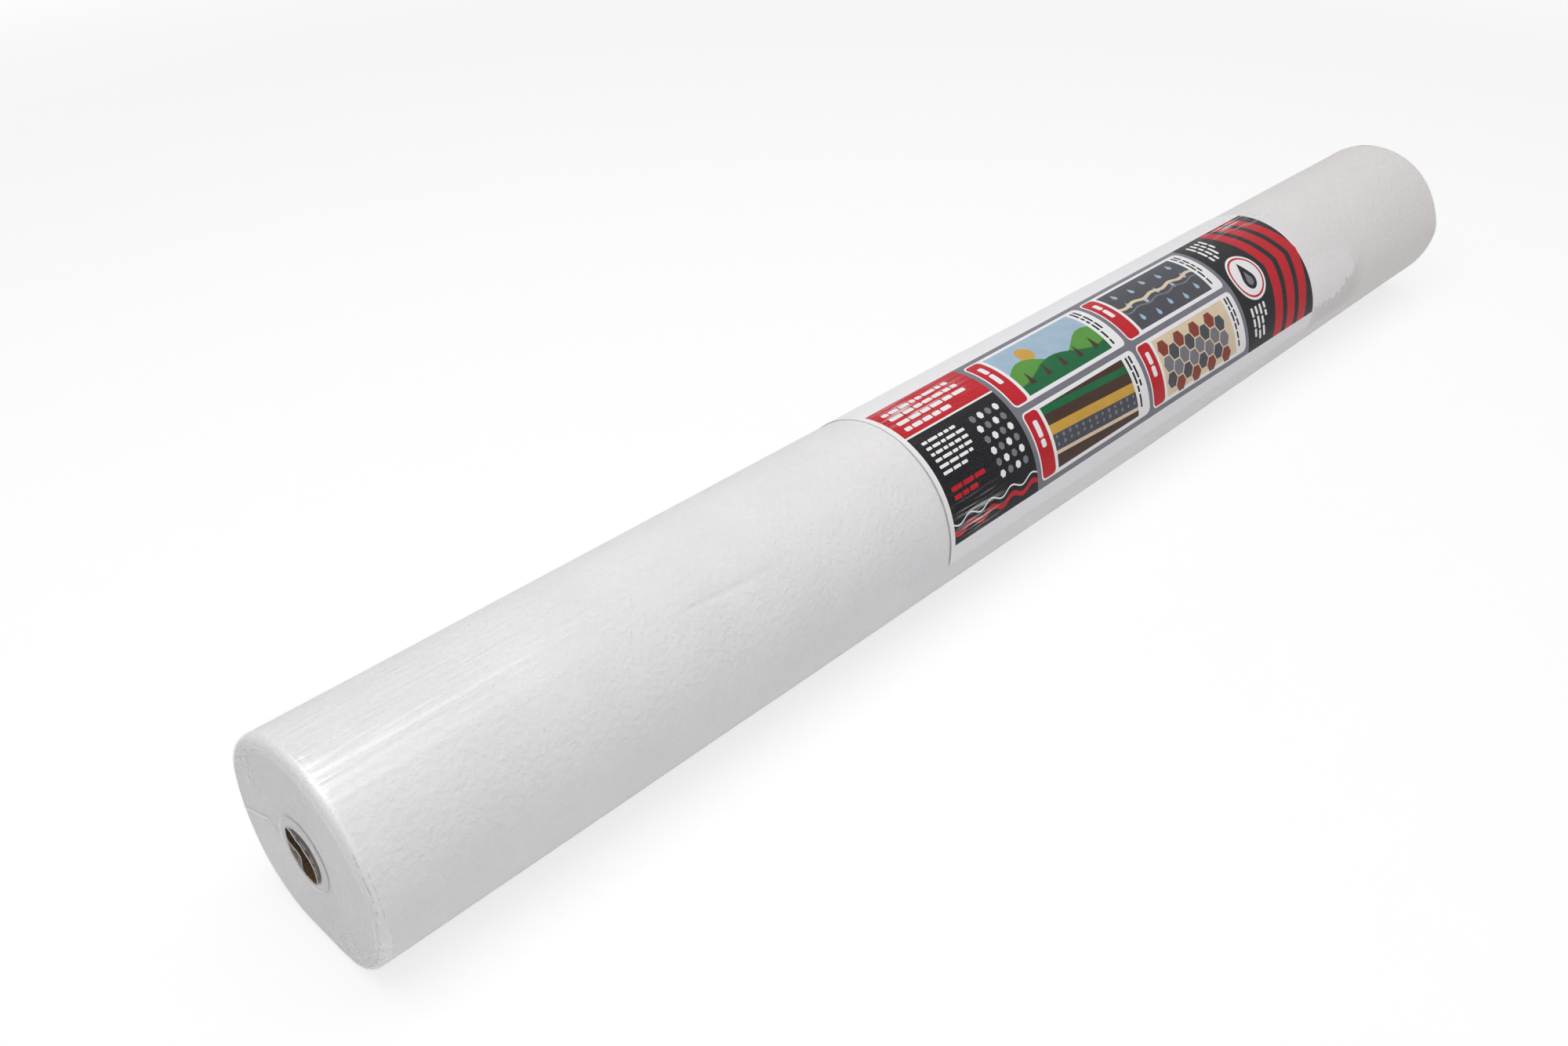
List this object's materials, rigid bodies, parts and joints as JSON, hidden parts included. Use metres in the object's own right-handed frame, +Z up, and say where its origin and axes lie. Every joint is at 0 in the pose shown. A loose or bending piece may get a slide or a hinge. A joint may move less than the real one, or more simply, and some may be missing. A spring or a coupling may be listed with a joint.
{
  "type": "geotextile roll",
  "caption": "Nonwoven geotextile web wound in a spiral on a cardboard core, with a printed sheet on it, in a sleeve of shrink film open at both ends of the bore.",
  "frame": {"origin": "on the surface the roll lies on, under the middle of its length and of its width", "axes": "+X along the roll, from the end nearer the camera to the far end; +Z up, from the strip pressed flat on its underside; +Y to the side away from the label"},
  "size_m": [1.0026, 0.1166, 0.1111],
  "materials": {
    "kraft_board": "matte",
    "tape": "satin",
    "nonwoven": "matte",
    "label_paper": "satin",
    "clear_film": "gloss"
  },
  "bodies": {
    "root": {"core_tube": "kraft_board", "core_tape": "tape", "geotextile_web": "nonwoven", "label_sheet": "label_paper", "shrink_sleeve": "clear_film"}
  },
  "joints": []
}
